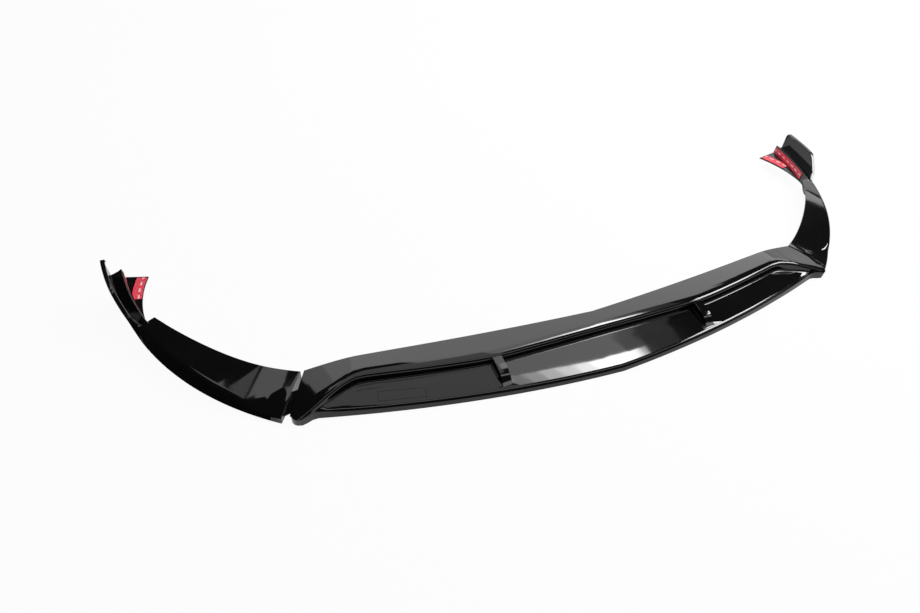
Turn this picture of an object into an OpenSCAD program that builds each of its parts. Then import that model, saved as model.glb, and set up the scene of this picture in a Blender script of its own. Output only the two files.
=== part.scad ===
// Front splitter lip of a car in three mouldings: a stepped centre lip and two
// corner lips with upswept side fins, joined by lapped tongues under the deck.
// Strips of foam tape with a red liner sit on the mounting faces behind each fin.
// X runs across the car, Y rearwards from the nose, Z up from the lower edge.

/* [Skin] */
// Thickness of the moulded skins
wall = 3; // [2.5:0.1:3.5]
// Thickness of the side fins
fin_wall = 4; // [3.4:0.1:4.6]
// Thickness of the turned-in rim of a side fin
fin_rim_t = 3.6; // [3:0.1:4.2]

/* [Centre lip] */
// Width between the back ends of the two joints
centre_w = 1178; // [1120:2:1240]
// Sweep of the front edge each side of the nose, in degrees
nose_angle = 2.8; // [1.5:0.1:4]
// Further sweep of the front edge, reached at the joints
front_bow = 64; // [56:1:70]
// Sweep of the deck's front edge, reached at the joints
deck_bow = 58; // [52:1:62]
// Sweep of the deck's back edge, reached at the joints
back_bow = 23.6; // [20:0.2:27]
// Height of the front rim at the nose
rim_h = 12; // [10:0.5:14]
// Lean-back of the front rim
rim_draft = 4.5; // [3:0.5:6]
// Distance from the nose to the front edge of the deck
deck_setback = 70; // [62:1:76]
// Depth of the deck on the centre line
deck_d = 67; // [58:1:76]
// Height of the deck at its back edge
deck_h = 40; // [36:0.5:44]
// Height of the deck's front edge on the centre line
deck_front_h = 36; // [32:0.5:39]
// Height of the blade at the foot of the step
foot_h = 20; // [17:0.5:23]
// Width of the bevel along the deck's front edge
bevel_w = 14; // [10:0.5:18]
// Distance from a joint to the bend where the deck turns forward to the tip
bend_reach = 86; // [82:1:92]

/* [Ribs] */
// Distance between the middles of the two ribs
rib_spacing = 479; // [420:1:540]
// Width of a rib
rib_w = 19.5; // [17:0.5:26]
// Reach of a rib's flat top in front of the step
rib_reach = 15; // [11:1:19]
// Distance from the front rim to the toe of a rib
rib_toe = 7; // [5:1:12]

/* [Joints] */
// Angle of the joint, measured from the fore-and-aft direction
joint_angle = 28.5; // [25:0.5:32]
// Angle by which the joint opens towards the tip
joint_taper = 4.8; // [3:0.1:6]
// Distance from the deck's back edge on the centre line to the back end of the joint
joint_run = 47.5; // [44:0.5:50]
// Height of the deck at the back end of the joint
joint_h = 30; // [27:0.5:33]
// Height of the tip of the centre lip
tip_h = 17; // [15:0.5:20]
// Distance from the deck's front edge on the centre line to the front of the tip
tip_setback = 17.5; // [15:0.5:20]
// Radius of the tip, seen from above
tip_r = 14; // [10:0.5:18]
// Opening between the centre lip and the right corner lip
right_gap = 1.2; // [0.3:0.1:3]
// Opening between the centre lip and the left corner lip
left_gap = 6.5; // [0.3:0.1:9]
// Reach of the tongue under the deck of the centre lip
tongue_lap = 16; // [12:0.5:20]
// Length of the tongue along the joint
tongue_len = 46; // [36:1:56]
// Clearance of the tongue under the deck
tongue_clear = 0.3; // [0.2:0.05:0.6]

/* [Corner lips] */
// Radius of the outer edge, seen from above
corner_r = 613; // [580:1:640]
// Direction of the outer edge at the joint, in degrees
corner_start = 35.9; // [34:0.1:38]
// Angle swept by the outer edge as far as the fin's rear end, in degrees
corner_sweep = 48.7; // [47:0.1:50]
// Angle swept by the deck, in degrees
deck_sweep = 32.3; // [31:0.1:33]
// Width of a corner lip at the joint
corner_w = 98.3; // [94:0.5:104]
// Width of the deck at its rear end
corner_end_w = 35.5; // [33:0.5:39]
// Height of the inner edge at the rear end of the deck
corner_end_h = 54; // [52:0.5:57]
// Height of the outer shoulder of the deck
shoulder_h = 50; // [46:0.5:52]
// Inward lean of the outer side over that height
shoulder_lean = 4; // [3:0.5:6]

/* [Fins] */
// Height of the fins
fin_h = 94; // [84:1:102]
// Outward lean of a fin over its height, at its front
fin_lean = 11; // [7:0.5:14]
// Outward lean of a fin over its height, at its rear end
rear_lean = 7; // [4:0.5:10]
// Width of the turned-in rim along a fin's top and its sloping front edge
fin_rim_w = 8.2; // [7:0.1:9]
// Height of a fin's lower edge, behind its front end
fin_foot_h = 24; // [20:0.5:28]
// Length of a fin's sloping front edge, as an angle on the outer radius
fin_rake = 5.4; // [4.6:0.1:7]
// Radius of the fin's rear top corner
fin_corner_r = 7; // [5:0.5:10]

/* [Mounting faces] */
// Distance from the outer edge to the upright face at its front end
face_front_inset = 21; // [19:0.5:22]
// Distance from the outer edge to the upright face at its rear end
face_inset = 23; // [21:0.5:26]
// Height of the gutter between the fin and the upright face, at its front end
gutter_h = 42; // [40:0.5:44]
// Height of the foot of the upright face at its front end
face_front_foot_h = 31; // [29:0.5:33]
// Height of the top of the upright face at its rear end
face_top_h = 58.5; // [56:0.5:61]
// Height of the foot of the upright face at its rear end
face_foot_h = 35.5; // [34:0.5:37]
// Width of the flange at its rear end
flange_w = 42; // [38:1:48]
// Drop of the flange per millimetre of its width
flange_slope = 0.32; // [0.26:0.02:0.4]

/* [Tape] */
// Thickness of the foam tape
tape_t = 1.1; // [0.8:0.1:1.5]
// Thickness of the liner
liner_t = 0.2; // [0.15:0.05:0.3]
// Width of the strips
tape_w = 18.5; // [14:0.5:19]
// Adhesive line under a strip
glue = 0.05; // [0.03:0.01:0.1]

/* [Hidden] */
gloss = "#141416";
foam = "#2a2a2c";
red = "#d8203a";

half_w = centre_w / 2;
bend_x = half_w - bend_reach;
// Back corner of the centre lip at the right joint
deck_back_y = deck_setback + deck_d;
joint_back = [half_w, deck_back_y + joint_run];
// Front face of the tip
tip_y = deck_setback + tip_setback;
// Angle of the corner lip's end, so that the joint opens towards the tip
end_angle = joint_angle + joint_taper;
arc_centre = joint_back + corner_w * [sin(end_angle), -cos(end_angle)]
    + corner_r * [-sin(corner_start), cos(corner_start)];
fin_end = corner_start + corner_sweep;
deck_end = corner_start + deck_sweep;
fin_start = deck_end + 0.8;
// Bevel of the fin's edges
fin_edge = 1;
// Angles by which a fin and the skin behind it reach into the deck
fin_root = 0.42;
skin_root = 0.36;
// Beyond every edge of the lip, seen from above, and over its top
far = 3 * half_w;
tall = 2 * fin_h;

// General helpers
function mix(a, b, t) = a + (b - a) * t;
function ease(t) = let (c = min(max(t, 0), 1)) c * c * (3 - 2 * c);
function soft_min(a, b, k) = (a + b - sqrt((a - b) * (a - b) + k * k)) / 2;
function soft_max(a, b, k) = -soft_min(-a, -b, k);
function unit(v) = v / norm(v);

// Curve that rounds corner b of the line a-b-c, starting at most reach before it
function bend(a, b, c, reach, n) =
    let (s = min(reach, 0.45 * norm(a - b), 0.45 * norm(c - b)),
        p = b + s * unit(a - b), q = b + s * unit(c - b))
    [for (k = [0 : n]) let (t = k / n) (1 - t) * (1 - t) * p + 2 * t * (1 - t) * b + t * t * q];

// Line through the corners v, each rounded by its [reach, steps]
function rounded(v, r) = [v[0],
    for (i = [1 : len(v) - 2]) each bend(v[i - 1], v[i], v[i + 1], r[i - 1][0], r[i - 1][1]),
    v[len(v) - 1]];

// Two triangles over the corners q, split along the shorter diagonal
function split(v, q) = norm(v[q[0]] - v[q[2]]) < norm(v[q[1]] - v[q[3]])
    ? [[q[0], q[1], q[2]], [q[0], q[2], q[3]]] : [[q[0], q[1], q[3]], [q[1], q[2], q[3]]];

// Closed skin over rings with equal numbers of points, which run against the clock
// when they are seen from the last ring
module loft(rings) {
    n = len(rings[0]);
    m = len(rings);
    v = [for (ring = rings) each ring];
    polyhedron(v, [[for (i = [0 : n - 1]) n - 1 - i],
        for (j = [0 : m - 2], i = [0 : n - 1]) let (a = j * n + i, b = j * n + (i + 1) % n)
            each split(v, [a, b, b + n, a + n]),
        [for (i = [0 : n - 1]) (m - 1) * n + i]]);
}

// Centre lip: its lines seen from above, x being the distance from the centre line
function front_line(x) = tan(nose_angle) * x + front_bow * pow(x / half_w, 2);
function deck_curve(x) = deck_setback + 0.042 * x + deck_bow * pow(x / half_w, 2);
function deck_line(x) = soft_max(tip_y + 2.5,
    soft_min(deck_curve(x), deck_curve(bend_x) - 0.41 * (x - bend_x - 4), 9), 3);
function back_line(x) = soft_min(deck_back_y + 0.055 * x + back_bow * pow(x / half_w, 2),
    joint_back[1] + 0.3, 6);
// Its heights
function deck_front_z(x) = soft_min(mix(deck_front_h, deck_h, pow(x / bend_x, 2)),
    tip_h + 0.29 * (half_w + 36 - x), 5);
function deck_back_z(x) = soft_min(deck_h, joint_h + (deck_h - joint_h) * (half_w - x) / bend_reach, 1.5);
function rim_z(x) = mix(rim_h, rim_h + 3, pow(x / half_w, 2));

// Corners of its section from the lower front edge to the back edge of the deck
function centre_corners(x) =
    let (yd = deck_line(x), zd = deck_front_z(x), yf = yd - 3,
        y0 = soft_min(front_line(x), yf - 1.5, 2),
        y1 = min(y0 + rim_draft, (y0 + yf) / 2), z1 = rim_z(x),
        zf = min(foot_h, mix(z1, zd, 0.4)), yb = back_line(x), zb = deck_back_z(x),
        yc = min(yd + bevel_w, mix(yd, yb, 0.4)), zc = mix(zd, zb, (yc - yd) / (yb - yd)) + 2)
    [[y0, 0], [y1, z1], [mix(y1, yf, 0.5), mix(z1, zf, 0.5) + min(1.4, 0.03 * (yf - y1))],
        [yf, zf], [yd, zd], [yc, zc], [yb, zb]];

function centre_ring(x) =
    let (line = rounded(centre_corners(abs(x)), [[6, 4], [22, 2], [4, 3], [6, 4], [9, 2]]))
    [for (p = line) [x, p[0], p[1]], [x, line[len(line) - 1][0], 0]];

centre_half = [for (x = [0 : 31 : bend_x - 45]) x, for (x = [bend_x - 26 : 10 : half_w + 58]) x];
centre_stations = [for (i = [len(centre_half) - 1 : -1 : 1]) -centre_half[i], each centre_half];

module centre_body() {
    loft([for (x = centre_stations) centre_ring(x)]);
}

// Rib from the step down to the blade, in a body inset on its sides for the hollow
module rib(x, inset) {
    yd = deck_line(x);
    top = deck_front_z(x) - 1.5;
    toe = front_line(x) + rim_draft + rib_toe;
    lip = yd - rib_reach;
    back = yd + bevel_w;
    curve = rounded([[toe, 3], [toe, rim_h], [mix(toe, lip, 0.5), mix(rim_h, top, 0.78)], [lip, top - 1.5],
        [back, deck_front_z(x)], [back, 3]], [[2, 2], [14, 4], [4, 3], [1, 1]]);
    translate([x - rib_w / 2 + inset, 0, 0]) rotate([90, 0, 90])
        linear_extrude(rib_w - 2 * inset) polygon(curve);
}

module centre_solid(inset) {
    centre_body();
    for (side = [0, 1]) mirror([side, 0, 0]) rib(rib_spacing / 2, inset);
}

// Half plane on the inner side of a line through joint_back, offset outwards by d
module inner_side(angle, d) {
    translate(joint_back) rotate(angle) translate([d - far, -far]) square([far, 2 * far]);
}

// Outline of the right end of the centre lip, drawn in by inset all round
module end_outline(inset) {
    cy = tip_y + tip_r;
    cx = joint_back[0] - (tip_r + (cy - joint_back[1]) * sin(joint_angle)) / cos(joint_angle);
    translate([cx - far, cy - far]) square(far);
    translate([cx, cy]) circle(tip_r - inset, $fn = 40);
    intersection() {
        inner_side(joint_angle, -inset);
        translate([cx - far, cy]) square([2 * far, far]);
    }
}

// Stretch of the joint that the tongue passes through, behind the tip
module tongue_band() {
    translate([0, tip_y + tip_r + 8]) square([far, tongue_len * cos(joint_angle)]);
}

module both_ends() {
    intersection_for (side = [0, 1]) mirror([side, 0, 0]) children();
}

module centre_lip() {
    color(gloss) difference() {
        intersection() {
            centre_solid(0);
            translate([0, 0, -1]) linear_extrude(tall) both_ends() end_outline(0);
        }
        intersection() {
            translate([0, wall, -wall]) centre_solid(wall);
            translate([0, 0, -wall - 1]) linear_extrude(tall) both_ends() {
                end_outline(wall);
                translate([0, tip_y + tip_r]) square(far);
            }
        }
    }
}

// Corner lip: radial sections, turned about the centre of the outer edge's arc
function polar(a, r, z) = [arc_centre[0] + r * sin(a), arc_centre[1] - r * cos(a), z];

function along_deck(a) = (a - corner_start) / deck_sweep;
function deck_width(a) = mix(corner_w, corner_end_w, along_deck(a)) + 2.5 * sin(180 * along_deck(a));
function inner_z(a) = mix(joint_h, corner_end_h, ease((along_deck(a) - 0.16) / 0.8));
// Share of the way from the sloping joint section to the full shoulder
function fullness(a) = ease((a - corner_start - 1) / 7);
function shoulder_z(a) = shoulder_h * (1 - exp(-max(0, a - corner_start - 2) / 8));

function corner_ring(a, off) =
    let (w = deck_width(a), zi = inner_z(a), f = fullness(a),
        rim = mix(tip_h - 3, rim_h - 1, f),
        line = rounded([[corner_r, 0], [corner_r - 1, rim],
            [corner_r - mix(0.46 * w, shoulder_lean, f), mix(0.84 * zi, shoulder_z(a), f)],
            [corner_r - w, zi]], [[mix(4, 2, f), 3], [mix(22, 9, f), 5]]))
    [for (p = line) polar(a, p[0] - off, p[1] - off), polar(a, corner_r - w - off, -off)];

module corner_body(last, off) {
    loft([for (a = [corner_start - 3 : 1.3 : last - 0.6]) corner_ring(a, off), corner_ring(last, off)]);
}

// Winglet: a leaning fin, and behind it a gutter, an upright mounting face and a flange
function along_fin(a) = (a - deck_end) / (fin_end - deck_end);
// Outward lean per millimetre of height, which starts as the deck's shoulder leans
function lean(a) = mix(-shoulder_lean / shoulder_h, mix(fin_lean, rear_lean, along_fin(a)) / fin_h,
    ease((a - deck_end) / 2.5));
function fin_foot(a) = fin_foot_h * ease((a - fin_start) / 5);
function gutter_z(a) = mix(gutter_h, face_top_h - 9, along_fin(a));
function fin_top(a) =
    let (run = max(0, (a - fin_end) * PI / 180 * corner_r + fin_corner_r), foot = shoulder_h - 3.5,
        top = soft_min(foot + (fin_h - foot) * max(0, a - fin_start) / fin_rake, fin_h, 4))
    top - (fin_corner_r - sqrt(max(0, pow(fin_corner_r, 2) - run * run)));

// Slice of the fin, whose top lies inside the rim
function fin_ring(a, inset) =
    let (top = fin_top(a) - fin_edge - inset, r = corner_r + lean(a) * top - inset,
        w = fin_wall - 2 * inset)
    let (low = fin_foot(a) + inset, s = corner_r + lean(a) * low - inset)
    [for (p = [[s, low], [r, top], [r - w, top], [s - w, low]]) polar(a, p[0], p[1])];

// Slice of the rim that is turned in along the fin's top and front edge
function rim_ring(a, inset) =
    let (top = fin_top(a) - inset, low = fin_top(a) - fin_rim_t + inset,
        r = corner_r + lean(a) * top + 0.2 - inset, w = fin_rim_w - 2 * inset)
    [for (p = [[r, low], [r, top - fin_edge], [r - fin_edge, top], [r - w + fin_edge, top],
        [r - w, top - fin_edge], [r - w, low]]) polar(a, p[0], p[1])];

fin_stations = [deck_end + 0.3, for (a = [fin_start : 1.35 : fin_end - 1.6]) a,
    for (k = [0 : 4]) fin_end - (1 - sin(k * 22.5)) * fin_corner_r / corner_r * 180 / PI];

// Each stretch of the fin starts with a smaller slice, inside the stretch or the deck before it
module fin() {
    for (k = [0 : len(fin_stations) - 2]) let (a = fin_stations[k], b = fin_stations[k + 1],
        start = a - (k == 0 ? fin_root : 0.03)) {
        hull() loft([fin_ring(start, 0.3), fin_ring(a, 0), fin_ring(b, 0)]);
        hull() loft([rim_ring(start, 0.3), rim_ring(a, 0), rim_ring(b, 0)]);
    }
}

function face_r(a) = corner_r - mix(face_front_inset, face_inset, along_fin(a));
function face_top(a) = mix(inner_z(deck_end) - 1, face_top_h, along_fin(a));
function face_foot(a) = mix(face_front_foot_h, face_foot_h, along_fin(a));
function flange_width(a) = max(1.5, flange_w * pow(max(0, along_fin(a)), 1.5));

// Section of the gutter, the upright face and the flange, as one folded skin
function fold_ring(a) =
    let (rf = face_r(a), zt = face_top(a), z0 = face_foot(a), w = flange_width(a), drop = flange_slope * w,
        zg = gutter_z(a), rg = corner_r + lean(a) * zg - fin_wall, c = min(8, (rg - rf) / 2))
    [for (p = [[rg + fin_wall / 2, zg], [rg, zg], [rf + c, zt - c / 2], [rf + 1.5, zt], [rf, zt - 1.5],
        [rf, z0], [rf - w, z0 - drop], [rf - w, z0 - drop - wall], [rf, z0 - wall], [rf + wall, z0 - wall],
        [rf + wall, zt - wall], [rf + c, zt - c / 2 - wall], [rg, zg - wall],
        [rg + fin_wall / 2, zg - wall]]) polar(a, p[0], p[1])];

module folded_skin() {
    loft([for (k = [0 : 17]) fold_ring(mix(deck_end - skin_root, fin_end - 0.06, k / 17))]);
}

module outer_side(d) {
    difference() {
        translate([-far, -far]) square(2 * far);
        inner_side(end_angle, d);
    }
}

// The corner lip in its closed-up place, with its joint end open to the outside
module corner_shell() {
    difference() {
        intersection() {
            corner_body(deck_end, 0);
            translate([0, 0, -1]) linear_extrude(tall) outer_side(0);
        }
        intersection() {
            corner_body(deck_end + 1, wall);
            translate([0, 0, -wall - 1]) linear_extrude(tall) outer_side(wall);
        }
    }
    fin();
    folded_skin();
}

// Tongue under the centre lip's deck, fixed to the end wall of a corner lip gap away
module tongue(gap) {
    intersection() {
        difference() {
            translate([0, 1, -1] * (wall + tongue_clear)) centre_body();
            translate([0, 1, -1] * (2 * wall + tongue_clear)) centre_body();
        }
        linear_extrude(tall) intersection() {
            translate([gap, 0]) inner_side(end_angle, wall - 0.5);
            difference() {
                tongue_band();
                inner_side(joint_angle, -tongue_lap);
            }
        }
    }
}

module corner_lip(gap) {
    color(gloss) union() {
        translate([gap, 0, 0]) corner_shell();
        tongue(gap);
    }
}

module corner_lip_right() { corner_lip(right_gap); }
module corner_lip_left() { mirror([1, 0, 0]) corner_lip(left_gap); }

// Strip on the upright face: a layer from d to d + t off the plastic
strip_stations = [for (k = [0 : 14]) mix(deck_end + 2.9, fin_end - 0.5, k / 14)];
module upright_strip(gap, d, t) {
    translate([gap, 0, 0]) loft([for (a = strip_stations)
        let (r = face_r(a) - d, z = face_foot(a) + 1)
        [polar(a, r, z), polar(a, r, z + tape_w), polar(a, r - t, z + tape_w), polar(a, r - t, z)]]);
}

// Strip along the free edge of the flange
flange_stations = [for (k = [0 : 8]) mix(fin_end - 7.3, fin_end - 0.5, k / 8)];
module flange_strip(gap, d, t) {
    up = unit([-flange_slope, 1]);
    translate([gap, 0, 0]) loft([for (a = flange_stations)
        let (w = flange_width(a), p = [face_r(a) - w + 1, face_foot(a) - flange_slope * (w - 1)],
            q = p + [1, flange_slope] * min(tape_w, w - 4))
        [for (v = [q + d * up, q + (d + t) * up, p + (d + t) * up, p + d * up]) polar(a, v[0], v[1])]]);
}

module upright_tape_right() { color(foam) upright_strip(right_gap, glue, tape_t); }
module upright_liner_right() { color(red) upright_strip(right_gap, 2 * glue + tape_t, liner_t); }
module flange_tape_right() { color(foam) flange_strip(right_gap, glue, tape_t); }
module flange_liner_right() { color(red) flange_strip(right_gap, 2 * glue + tape_t, liner_t); }
module upright_tape_left() { color(foam) mirror([1, 0, 0]) upright_strip(left_gap, glue, tape_t); }
module upright_liner_left() {
    color(red) mirror([1, 0, 0]) upright_strip(left_gap, 2 * glue + tape_t, liner_t);
}
module flange_tape_left() { color(foam) mirror([1, 0, 0]) flange_strip(left_gap, glue, tape_t); }
module flange_liner_left() {
    color(red) mirror([1, 0, 0]) flange_strip(left_gap, 2 * glue + tape_t, liner_t);
}

centre_lip();
corner_lip_right();
corner_lip_left();
upright_tape_right();
upright_liner_right();
flange_tape_right();
flange_liner_right();
upright_tape_left();
upright_liner_left();
flange_tape_left();
flange_liner_left();
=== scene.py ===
# Front splitter lip of a car, dressed for its picture: a stepped centre lip and two corner
# lips with side fins, all in gloss black plastic, and taped mounting faces behind each fin.
import math

import bmesh
import bpy
from mathutils import Matrix, Vector
from mathutils.bvhtree import BVHTree


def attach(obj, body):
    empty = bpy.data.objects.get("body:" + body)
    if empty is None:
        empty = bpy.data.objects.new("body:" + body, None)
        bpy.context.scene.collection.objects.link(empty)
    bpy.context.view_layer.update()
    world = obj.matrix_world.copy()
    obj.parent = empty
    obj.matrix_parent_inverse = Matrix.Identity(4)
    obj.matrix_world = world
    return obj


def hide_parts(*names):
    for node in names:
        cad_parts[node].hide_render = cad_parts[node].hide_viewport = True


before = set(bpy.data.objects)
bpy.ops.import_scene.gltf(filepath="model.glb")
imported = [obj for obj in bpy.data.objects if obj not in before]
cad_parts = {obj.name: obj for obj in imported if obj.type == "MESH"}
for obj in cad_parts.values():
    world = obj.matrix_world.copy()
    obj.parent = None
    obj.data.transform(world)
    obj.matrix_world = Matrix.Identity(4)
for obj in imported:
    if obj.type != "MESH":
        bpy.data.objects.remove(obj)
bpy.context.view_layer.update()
bpy.ops.object.select_all(action="DESELECT")

# Centre lip:
# The stepped blade and deck between the two joints, one hollow moulding in gloss black
# plastic. It comes out of a polished mould, so its edges are crisp but never quite sharp.
weld_gap = 0.00012
flat_angle = math.radians(0.03)
edge_angle = math.radians(32)
smooth_angle = math.radians(40)
centre_rounding = 0.0006


def merged_copy(node):
    """A copy of a moulded shell, its loose triangles joined into one skin."""
    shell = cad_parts[node].copy()
    shell.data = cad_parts[node].data.copy()
    shell.parent = None
    shell.name = node + "_polished"
    for key in [k for k in shell.keys() if k.startswith("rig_")]:
        del shell[key]
    bpy.context.scene.collection.objects.link(shell)
    bpy.ops.object.select_all(action="DESELECT")
    shell.select_set(True)
    bpy.context.view_layer.objects.active = shell
    bpy.ops.object.mode_set(mode="EDIT")
    bpy.ops.mesh.select_all(action="SELECT")
    bpy.ops.mesh.remove_doubles(threshold=weld_gap)
    bpy.ops.mesh.dissolve_limited(angle_limit=flat_angle, use_dissolve_boundaries=False)
    bpy.ops.mesh.select_all(action="DESELECT")
    bpy.ops.object.mode_set(mode="OBJECT")
    return shell


def polish(shell, width, left_sharp=lambda point: False):
    """Sharp edges rounded to the given width, and smooth faces between them."""
    mesh = bmesh.new()
    mesh.from_mesh(shell.data)
    weight = mesh.edges.layers.float.new("bevel_weight_edge")
    for edge in mesh.edges:
        if edge.is_manifold and edge.calc_face_angle() > edge_angle:
            if not any(left_sharp(end.co) for end in edge.verts):
                edge[weight] = 1.0
    true_shape = BVHTree.FromBMesh(mesh)
    mesh.to_mesh(shell.data)
    mesh.free()
    bevel = shell.modifiers.new("rounded_edges", "BEVEL")
    bevel.limit_method = "WEIGHT"
    bevel.width = width
    bevel.segments = 2
    bevel.use_clamp_overlap = False
    bevel.miter_outer = "MITER_ARC"
    bpy.ops.object.modifier_apply(modifier=bevel.name)
    # In tight corners the rounding throws single points off the skin, and they go back to it
    for vertex in shell.data.vertices:
        nearest, _, _, distance = true_shape.find_nearest(vertex.co)
        if distance > width / 2:
            vertex.co = nearest
    bpy.ops.object.shade_smooth_by_angle(angle=smooth_angle)
    weighted = shell.modifiers.new("even_shading", "WEIGHTED_NORMAL")
    weighted.keep_sharp = True
    bpy.ops.object.modifier_apply(modifier=weighted.name)


def paint(piece, finish):
    """One finish all over the piece."""
    piece.data.materials.clear()
    piece.data.materials.append(finish)


def node_group(name, inputs, outputs):
    """An empty shader group with the named inputs and outputs, and its two end nodes."""
    group = bpy.data.node_groups.new(name, "ShaderNodeTree")
    for label, kind, value in inputs:
        socket = group.interface.new_socket(name=label, in_out="INPUT", socket_type=kind)
        if value is not None:
            socket.default_value = value
    for label, kind in outputs:
        group.interface.new_socket(name=label, in_out="OUTPUT", socket_type=kind)
    return group, group.nodes.new("NodeGroupInput"), group.nodes.new("NodeGroupOutput")


def feed(tree, value, socket):
    """A plain number or colour set on a socket, or another socket linked to it."""
    if isinstance(value, (int, float, tuple)):
        socket.default_value = value
    else:
        tree.links.new(value, socket)


def noise(tree, source, scale, detail):
    """Noise of a given number of grains per metre, on the given coordinates."""
    texture = tree.nodes.new("ShaderNodeTexNoise")
    texture.inputs["Detail"].default_value = detail
    tree.links.new(source, texture.inputs["Vector"])
    feed(tree, scale, texture.inputs["Scale"])
    return texture.outputs["Fac"]


def remap(tree, value, low, high, to_low, to_high):
    """The value stretched from one range to another, and held inside it."""
    ranged = tree.nodes.new("ShaderNodeMapRange")
    tree.links.new(value, ranged.inputs["Value"])
    ranged.inputs["From Min"].default_value = low
    ranged.inputs["From Max"].default_value = high
    ranged.inputs["To Min"].default_value = to_low
    ranged.inputs["To Max"].default_value = to_high
    return ranged.outputs["Result"]


def mix_colour(tree, factor, first, second):
    """Two colours mixed by a factor."""
    mixer = tree.nodes.new("ShaderNodeMix")
    mixer.data_type = "RGBA"
    tree.links.new(factor, mixer.inputs["Factor"])
    for label, colour in (("A", first), ("B", second)):
        socket = [s for s in mixer.inputs if s.name == label and s.type == "RGBA"][0]
        feed(tree, colour, socket)
    return [s for s in mixer.outputs if s.type == "RGBA"][0]


def calculate(tree, operation, *values):
    """One sum, product or other calculation on up to three numbers or sockets."""
    node = tree.nodes.new("ShaderNodeMath")
    node.operation = operation
    for value, socket in zip(values, node.inputs):
        feed(tree, value, socket)
    return node.outputs[0]


# Specks of dust and cloudy wipe marks, which every surface that has been handled carries
speck_edge = (0.72, 0.8)
cloud_scale = 9.0
cloud_edge = (0.4, 0.65)
wiped_share = 0.2
handled, given, result = node_group(
    "handled_surface",
    (
        ("Vector", "NodeSocketVector", None),
        ("Dust", "NodeSocketFloat", 0.5),
        ("Grain", "NodeSocketFloat", 900.0),
    ),
    (("Dust", "NodeSocketFloat"), ("Cloud", "NodeSocketFloat")),
)
specks = noise(handled, given.outputs["Vector"], given.outputs["Grain"], 1.0)
cloud = noise(handled, given.outputs["Vector"], cloud_scale, 3.0)
scatter = calculate(
    handled, "MULTIPLY",
    remap(handled, specks, *speck_edge, 0.0, 1.0),
    remap(handled, cloud, *cloud_edge, wiped_share, 1.0))
amount = calculate(handled, "MULTIPLY", scatter, given.outputs["Dust"])
handled.links.new(amount, result.inputs["Dust"])
handled.links.new(cloud, result.inputs["Cloud"])


def material(name):
    """A new node material, with its shader and its Object coordinates."""
    made = bpy.data.materials.new(name)
    made.use_nodes = True
    tree = made.node_tree
    shader = tree.nodes["Principled BSDF"]
    return made, tree, shader, tree.nodes.new("ShaderNodeTexCoord").outputs["Object"]


def handling(tree, coordinates, **amounts):
    """The Dust and Cloud masks of the handled surface, placed in a material."""
    group = tree.nodes.new("ShaderNodeGroup")
    group.node_tree = handled
    tree.links.new(coordinates, group.inputs["Vector"])
    for label, amount in amounts.items():
        group.inputs[label].default_value = amount
    return group.outputs


def bump(tree, shader, height, distance):
    """A bump of the given height in metres on the shader's normal."""
    node = tree.nodes.new("ShaderNodeBump")
    node.inputs["Distance"].default_value = distance
    tree.links.new(height, node.inputs["Height"])
    tree.links.new(node.outputs["Normal"], shader.inputs["Normal"])


deep_black = (0.0026, 0.0026, 0.0029, 1)
wiped_black = (0.0042, 0.0042, 0.0046, 1)
dust_grey = (0.16, 0.16, 0.16, 1)
cloud_range = (0.3, 0.7)
gloss_roughness = (0.035, 0.075)
plastic_ior = 1.5
wave_scale = 22.0
wave_height = 0.00012
gloss_black, tree, shader, place = material("gloss_black_plastic")
marks = handling(tree, place, Dust=0.6, Grain=1100.0)
black = mix_colour(tree, marks["Cloud"], deep_black, wiped_black)
tree.links.new(mix_colour(tree, marks["Dust"], black, dust_grey), shader.inputs["Base Color"])
roughness = remap(tree, marks["Cloud"], *cloud_range, *gloss_roughness)
tree.links.new(roughness, shader.inputs["Roughness"])
shader.inputs["IOR"].default_value = plastic_ior
bump(tree, shader, noise(tree, place, wave_scale, 1.0), wave_height)

# The mould leaves one faint oblong outline on the blade, left of the left rib, where the
# plastic is rougher along a thin line
oblong_middle = (-0.4341, 0.0812, 0)
oblong_turn = math.radians(-12.8)
oblong_half_length = 0.0439
oblong_half_depth = 0.0096
line_half_width = 0.0007
line_roughness = 0.7
blade_black = gloss_black.copy()
blade_black.name = "gloss_black_blade"
tree = blade_black.node_tree
turned = tree.nodes.new("ShaderNodeMapping")
turned.vector_type = "TEXTURE"
turned.inputs["Location"].default_value = oblong_middle
turned.inputs["Rotation"].default_value = (0, 0, oblong_turn)
tree.links.new(tree.nodes["Texture Coordinate"].outputs["Object"], turned.inputs["Vector"])
sides = tree.nodes.new("ShaderNodeSeparateXYZ")
tree.links.new(turned.outputs["Vector"], sides.inputs[0])
gaps = []
for axis, half in (("X", oblong_half_length), ("Y", oblong_half_depth)):
    size = calculate(tree, "ABSOLUTE", sides.outputs[axis])
    gaps.append(calculate(tree, "SUBTRACT", size, half))
outline = calculate(tree, "COMPARE", calculate(tree, "MAXIMUM", *gaps), 0.0, line_half_width)
rough = tree.nodes["Principled BSDF"].inputs["Roughness"]
smooth = rough.links[0].from_socket
tree.links.new(calculate(tree, "MULTIPLY_ADD", outline, line_roughness, smooth), rough)

centre = merged_copy("centre_lip")
polish(centre, centre_rounding)
paint(centre, blade_black)
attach(centre, "root")
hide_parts("centre_lip")

# Corner lips:
# The two ends that wrap round the bumper's corners, one moulding each: deck, side fin,
# gutter and taped faces. They come out of the same black plastic as the centre lip.
corner_rounding = 0.0007
arc_x = 0.2873
arc_y = 0.5989
wall_begins = (math.radians(36.5), math.radians(39))
wall_ends = (math.radians(72), math.radians(76))
wall_faces = (-0.2, -0.05)
wall_lean = 0.85


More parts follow.
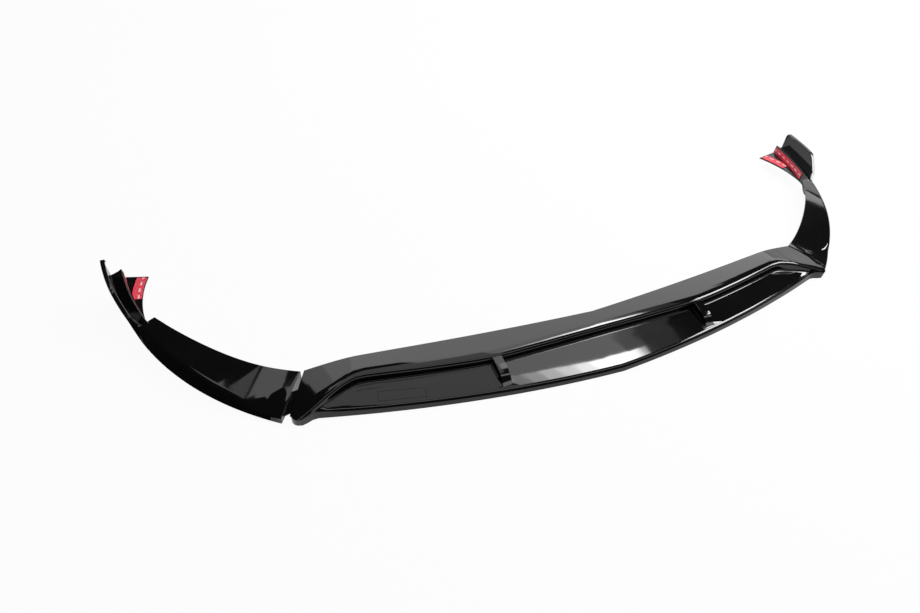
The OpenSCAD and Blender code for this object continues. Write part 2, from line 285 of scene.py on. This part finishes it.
def round_corner(tree, coordinates):
    """Where a point lies from the corner's arc middle: angle, run and depth, and its height."""
    point = tree.nodes.new("ShaderNodeSeparateXYZ")
    tree.links.new(coordinates, point.inputs[0])
    run = calculate(tree, "SUBTRACT", calculate(tree, "ABSOLUTE", point.outputs["X"]), arc_x)
    depth = calculate(tree, "SUBTRACT", arc_y, point.outputs["Y"])
    return calculate(tree, "ARCTAN2", run, depth), run, depth, point.outputs["Z"]


# In the photo the deck's outer wall mirrors the dark above the lip, not the pale floor, as a
# wall that leans back would. Its shape stays upright here, and only its shading leans.
corner_black = gloss_black.copy()
corner_black.name = "gloss_black_corner"
tree = corner_black.node_tree
coordinates = tree.nodes["Texture Coordinate"].outputs
turn = round_corner(tree, coordinates["Object"])[0]
facing = tree.nodes.new("ShaderNodeSeparateXYZ")
tree.links.new(coordinates["Normal"], facing.inputs[0])
wall = calculate(
    tree, "MULTIPLY",
    remap(tree, turn, *wall_begins, 0.0, 1.0),
    remap(tree, turn, *wall_ends, 1.0, 0.0))
outward = remap(tree, facing.outputs["Y"], *wall_faces, 1.0, 0.0)
upright = calculate(tree, "SUBTRACT", 1.0, calculate(tree, "ABSOLUTE", facing.outputs["Z"]))
lean = calculate(tree, "MULTIPLY", calculate(tree, "MULTIPLY", wall, outward), upright)
rise = tree.nodes.new("ShaderNodeCombineXYZ")
tree.links.new(calculate(tree, "MULTIPLY", lean, wall_lean), rise.inputs["Z"])
leaning = tree.nodes.new("ShaderNodeVectorMath")
leaning.operation = "ADD"
tree.links.new(coordinates["Normal"], leaning.inputs[0])
tree.links.new(rise.outputs[0], leaning.inputs[1])
world_normal = tree.nodes.new("ShaderNodeVectorTransform")
world_normal.vector_type = "NORMAL"
world_normal.convert_from = "OBJECT"
world_normal.convert_to = "WORLD"
tree.links.new(leaning.outputs[0], world_normal.inputs[0])
tree.links.new(world_normal.outputs[0], tree.nodes["Bump"].inputs["Normal"])

fin_top = 0.075
fin_rear = 0.51
deck_end = 0.375
deck_end_reach = 0.01


def thin_corner(point):
    """The fin's rear top corner, and the step where deck and fin meet, are too thin to round."""
    fin_corner = point.z > fin_top and point.y > fin_rear
    return fin_corner or abs(point.y - deck_end) < deck_end_reach


for side in ("right", "left"):
    corner = merged_copy("corner_lip_" + side)
    polish(corner, corner_rounding, thin_corner)
    paint(corner, corner_black)
    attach(corner, "root")
    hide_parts("corner_lip_" + side)

# Foam tape:
# Double-sided acrylic foam, 1.1 mm thick, pressed on the upright face and along the flange
# behind each fin. Its cut sides show as a dark, slightly open grain.
pore_black = (0.018, 0.018, 0.02, 1)
foam_black = (0.05, 0.05, 0.052, 1)
foam_roughness = 0.85
pore_scale = 2600.0
pore_depth = 0.0002
foam, tree, shader, place = material("foam_tape")
grain = noise(tree, place, pore_scale, 2.0)
tree.links.new(mix_colour(tree, grain, pore_black, foam_black), shader.inputs["Base Color"])
shader.inputs["Roughness"].default_value = foam_roughness
bump(tree, shader, grain, pore_depth)
for face in ("upright", "flange"):
    for side in ("right", "left"):
        paint(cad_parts[face + "_tape_" + side], foam)

# Red liner:
# The film that covers the tape until the lip is fitted. It is peeled off by hand, so it is
# a thin satin film, printed here with nothing but rows of short pale dashes.
deep_red = (0.74, 0.018, 0.05, 1)
light_red = (0.86, 0.04, 0.085, 1)
dash_pink = (0.88, 0.6, 0.6, 1)
dash_radius = 0.59
dash_pitch = 0.021
dash_share = 0.55
dash_half_width = 0.0017
film_roughness = (0.3, 0.45)
wrinkle_scale = 140.0
wrinkle_height = 0.0004

# Both strips start and end at the same angle round the corner, in radians. The upright
# one's row of dashes climbs a little, and the flange's curves towards the arc's middle.
strip_start = 1.1903
strip_span = 0.2862
upright_row = 0.0413
upright_climb = 0.0045
flange_row = 0.6005
flange_drift = -0.042
flange_curve = 1.5

# A row of pale dashes along a strip that curves round the corner
dashes, given, result = node_group(
    "printed_dashes",
    (
        ("Turn", "NodeSocketFloat", 0.0),
        ("Middle", "NodeSocketFloat", 0.0),
        ("Position", "NodeSocketFloat", 0.0),
    ),
    (("Mask", "NodeSocketFloat"),),
)
pitches = calculate(dashes, "MULTIPLY", given.outputs["Turn"], dash_radius / dash_pitch)
in_dash = calculate(dashes, "LESS_THAN", calculate(dashes, "FRACT", pitches), dash_share)
position = given.outputs["Position"]
in_row = calculate(dashes, "COMPARE", position, given.outputs["Middle"], dash_half_width)
dashes.links.new(calculate(dashes, "MULTIPLY", in_dash, in_row), result.inputs["Mask"])

for face in ("upright", "flange"):
    liner, tree, shader, place = material("red_liner_" + face)
    cloud = handling(tree, place)["Cloud"]
    turn, run, depth, height = round_corner(tree, place)
    along = calculate(tree, "DIVIDE", calculate(tree, "SUBTRACT", turn, strip_start), strip_span)
    if face == "upright":
        position = height
        middle = calculate(tree, "MULTIPLY_ADD", along, upright_climb, upright_row)
    else:
        squares = [calculate(tree, "MULTIPLY", leg, leg) for leg in (run, depth)]
        position = calculate(tree, "SQRT", calculate(tree, "ADD", *squares))
        curve = calculate(tree, "POWER", along, flange_curve)
        middle = calculate(tree, "MULTIPLY_ADD", curve, flange_drift, flange_row)
    printed = tree.nodes.new("ShaderNodeGroup")
    printed.node_tree = dashes
    tree.links.new(turn, printed.inputs["Turn"])
    tree.links.new(position, printed.inputs["Position"])
    tree.links.new(middle, printed.inputs["Middle"])
    red = mix_colour(tree, cloud, deep_red, light_red)
    colour = mix_colour(tree, printed.outputs["Mask"], red, dash_pink)
    tree.links.new(colour, shader.inputs["Base Color"])
    roughness = remap(tree, cloud, *cloud_range, *film_roughness)
    tree.links.new(roughness, shader.inputs["Roughness"])
    bump(tree, shader, noise(tree, place, wrinkle_scale, 2.0), wrinkle_height)
    for side in ("right", "left"):
        paint(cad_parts[face + "_liner_" + side], liner)

# Studio floor:
# A white sweep that runs far behind the lip. The camera and the gloss see it as plain
# white, and a little of its own shading is left in, for the contact shadow.
floor_size = 24
floor_middle = (0, 4, 0)
sweep_white = (0.8, 0.8, 0.8, 1)
sweep_roughness = 0.9
plain_white = 1.0
glow_share = 0.95
bpy.ops.mesh.primitive_plane_add(size=floor_size, location=floor_middle)
floor = bpy.context.object
floor.name = "studio_floor"
bpy.ops.object.transform_apply(location=True, rotation=False, scale=False)
white, tree, shader, place = material("white_sweep")
shader.inputs["Base Color"].default_value = sweep_white
shader.inputs["Roughness"].default_value = sweep_roughness
glow = tree.nodes.new("ShaderNodeEmission")
glow.inputs["Strength"].default_value = plain_white
path = tree.nodes.new("ShaderNodeLightPath")
seen = path.outputs["Is Camera Ray"]
for kind in ("Is Glossy Ray", "Is Transmission Ray"):
    seen = calculate(tree, "MAXIMUM", seen, path.outputs[kind])
both = tree.nodes.new("ShaderNodeMixShader")
tree.links.new(calculate(tree, "MULTIPLY", seen, glow_share), both.inputs[0])
tree.links.new(shader.outputs[0], both.inputs[1])
tree.links.new(glow.outputs[0], both.inputs[2])
tree.links.new(both.outputs[0], tree.nodes["Material Output"].inputs["Surface"])
paint(floor, white)

# Studio light:
# Soft boxes over and behind the lip, in an otherwise dim room, as gloss black plastic is
# lit: each one shows as a clean grey or white shape on the deck and the blade.
room_glow = 0.03
box_height = 2.0
world = bpy.data.worlds.new("dim_room")
bpy.context.scene.world = world
world.use_nodes = True
sky = world.node_tree.nodes["Background"]
sky.inputs["Color"].default_value = (1, 1, 1, 1)
sky.inputs["Strength"].default_value = room_glow


def soft_box(name, x, y, radiance, height=box_height):
    """A level soft box over the lip, between two x and two y, of an even radiance."""
    lamp = bpy.data.lights.new(name, "AREA")
    lamp.shape = "RECTANGLE"
    lamp.size = x[1] - x[0]
    lamp.size_y = y[1] - y[0]
    lamp.energy = radiance * math.pi * lamp.size * lamp.size_y
    box = bpy.data.objects.new(name, lamp)
    bpy.context.scene.collection.objects.link(box)
    box.location = ((x[0] + x[1]) / 2, (y[0] + y[1]) / 2, height)


# Over and behind the deck, and far to the right, where the deck turns away
soft_box("deck_box", (-0.35, 3.9), (1.62, 2.9), 2.5)
soft_box("deck_box_left", (-0.9, -0.35), (1.75, 2.9), 2.0)
soft_box("deck_box_leftmost", (-1.32, -0.9), (1.75, 2.9), 1.5)
soft_box("deck_box_far", (3.9, 5.6), (1.9, 4.2), 1.3)
soft_box("deck_box_farthest", (5.6, 10.0), (2.4, 6.5), 1.1)
soft_box("step_box", (0.1, 2.3), (1.12, 1.62), 2.5)
soft_box("step_box_right", (2.3, 3.9), (1.48, 1.62), 2.5)
# Over the blade: dim on the left, brightest in the middle, fading to the right
soft_box("blade_box_left", (-0.42, 0.5), (-0.4, 1.2), 1.0)
soft_box("blade_box", (0.5, 1.36), (0.35, 1.12), 2.2)
soft_box("blade_box_right", (1.36, 1.5), (0.35, 1.12), 1.2)
soft_box("blade_box_end", (1.5, 1.75), (0.35, 1.12), 0.4)
# Strips one under the other make its brightest part, each shorter, brighter and lower
strip_count = 6
for step in range(strip_count):
    across = (0.5 + 0.09 * step, 1.36)
    back = (0.46, 0.76 - 0.015 * step)
    radiance = 1.5 + 0.9 * step
    strip_height = 1.97 - 0.03 * step
    soft_box("bright_strip_%d" % step, across, back, radiance, strip_height)
# Over the left corner, and beside the right end of the blade
soft_box("corner_box", (-1.05, -0.45), (0.78, 1.35), 1.7)
soft_box("end_strip", (1.9, 2.85), (-0.45, 0.3), 18)
# In front, over the camera, for the front edges and the faces turned to the camera
soft_box("front_box", (-1.2, 4.2), (-1.3, -0.8), 2.5)

# Camera:
# Standing in front of the left corner and looking down at the lip, slightly tilted. Its
# lens is a focal length in pixels of the photo's width.
photo_width = 920.0
focal_pixels = 620.0
sensor_width = 36.0
eye = Vector((-0.658, -0.579, 0.930))
target = Vector((-0.2387, 0.2737, 0.0))
roll = math.radians(5.256)
camera = bpy.data.objects.new("camera", bpy.data.cameras.new("camera"))
bpy.context.scene.collection.objects.link(camera)
camera.data.sensor_width = sensor_width
camera.data.lens = focal_pixels / photo_width * sensor_width
camera.data.clip_start = 0.05
camera.data.clip_end = 100.0
aim = (target - eye).to_track_quat("-Z", "Y").to_matrix().to_4x4()
camera.matrix_world = Matrix.Translation(eye) @ aim @ Matrix.Rotation(roll, 4, "Z")
bpy.context.scene.camera = camera
bpy.context.scene.view_settings.view_transform = "Standard"
